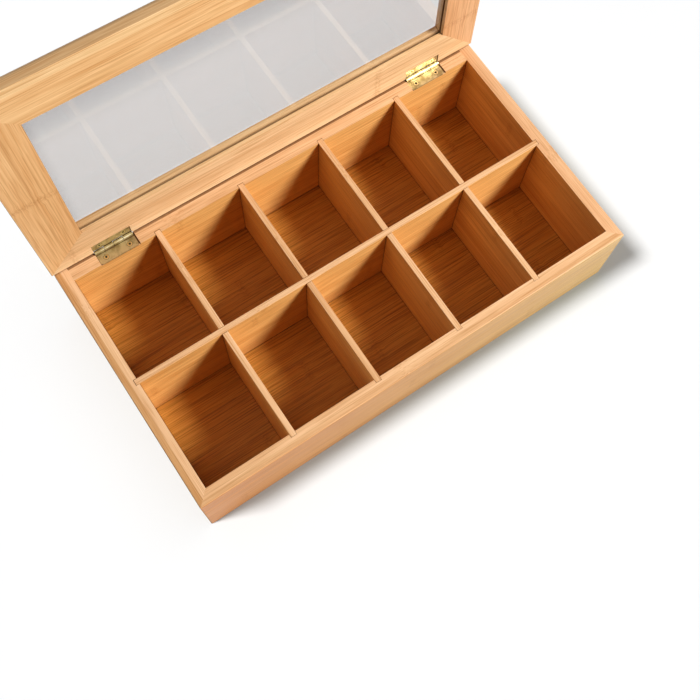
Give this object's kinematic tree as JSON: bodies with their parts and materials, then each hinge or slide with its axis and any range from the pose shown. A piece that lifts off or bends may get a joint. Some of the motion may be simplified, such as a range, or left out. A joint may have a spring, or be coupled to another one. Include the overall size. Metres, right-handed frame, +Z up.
{
  "type": "tea bag organizer box",
  "caption": "Hinged bamboo box divided into compartments for tea bags, with a mitred lid frame, a clear window and brass butt hinges.",
  "frame": {"origin": "centre of the underside of the box", "axes": "+X to the right seen from the front, +Y from the front wall to the hinged back wall, +Z up"},
  "size_m": [0.371, 0.215, 0.2689],
  "materials": {
    "bamboo": "fine straight bamboo grain under a clear satin finish",
    "brass": "bright pressed brass, lightly tarnished",
    "clear_acrylic": "clear, smooth"
  },
  "bodies": {
    "box": {"front_wall": "bamboo", "back_wall": "bamboo", "left_wall": "bamboo", "right_wall": "bamboo", "bottom_panel": "bamboo", "long_divider": "bamboo", "cross_divider_1": "bamboo", "cross_divider_2": "bamboo", "cross_divider_3": "bamboo", "cross_divider_4": "bamboo", "left_hinge_box_leaf": "brass", "left_hinge_pin": "brass", "left_hinge_box_screws": "brass", "right_hinge_box_leaf": "brass", "right_hinge_pin": "brass", "right_hinge_box_screws": "brass"},
    "lid": {"lid_front_rail": "bamboo", "lid_rear_rail": "bamboo", "lid_left_stile": "bamboo", "lid_right_stile": "bamboo", "lid_window": "clear_acrylic", "left_hinge_lid_leaf": "brass", "left_hinge_lid_screws": "brass", "right_hinge_lid_leaf": "brass", "right_hinge_lid_screws": "brass"}
  },
  "joints": [
    {"name": "lid_hinge", "type": "hinge", "parent": "box", "child": "lid", "pos_m": [0, 0.0987, 0.0703], "axis": [1, 0, 0], "range_deg": [0, 91.5]}
  ]
}
